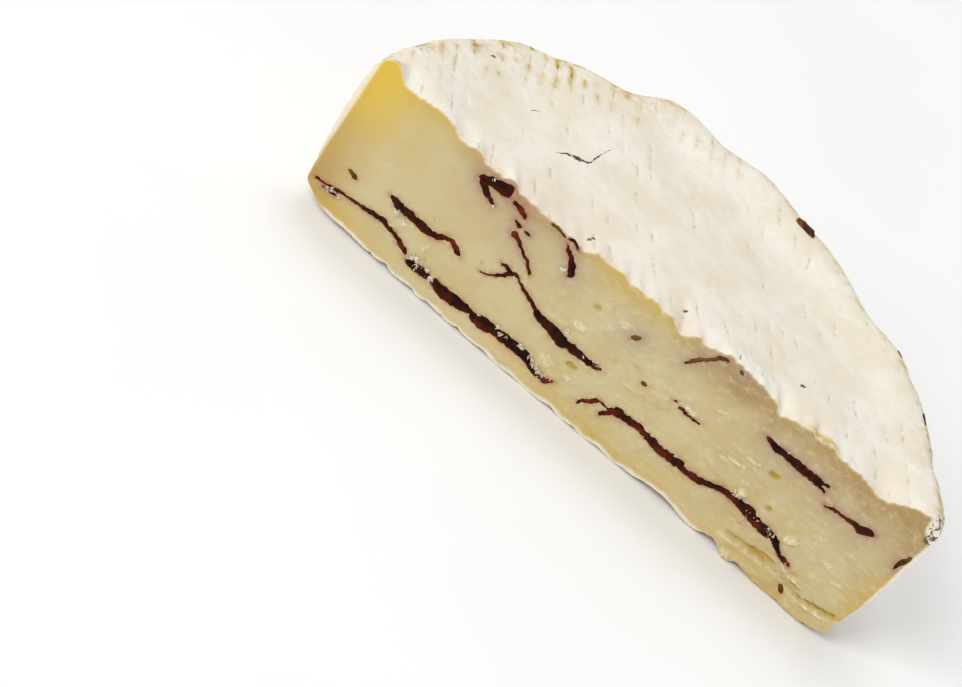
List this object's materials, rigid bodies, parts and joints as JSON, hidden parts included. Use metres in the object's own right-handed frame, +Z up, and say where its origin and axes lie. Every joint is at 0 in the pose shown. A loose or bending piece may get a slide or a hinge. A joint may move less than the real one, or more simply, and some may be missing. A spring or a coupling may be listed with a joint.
{
  "type": "half camembert wheel",
  "caption": "Half of a soft white-rind cheese wheel, lying flat and cut through the middle, with thin dark slices of filling running back through its pale paste.",
  "frame": {"origin": "middle of the half's box in plan, on its flat base", "axes": "+X along the cut face, +Y from the cut face into the cheese, +Z up from the base"},
  "size_m": [0.1191, 0.0612, 0.0309],
  "materials": {
    "cheese": "matte bloomy white rind round a moist ivory paste",
    "filling": "dark red-brown, leathery and moist",
    "dried_filling": "brown, leathery and dry"
  },
  "bodies": {
    "root": {"cheese_half": "cheese", "slice_low_left": "filling", "slice_low_middle": "filling", "slice_mid_left": "filling", "slice_upper_tip": "filling", "slice_upper_thread": "filling", "slice_centre": "filling", "slice_upper_middle": "filling", "slice_low_right": "filling", "slice_rind_thread": "filling", "slice_short": "filling", "slice_upper_right": "filling", "slice_right": "filling", "fleck_left": "filling", "slice_folded": "filling", "rim_sliver": "dried_filling"}
  },
  "joints": []
}
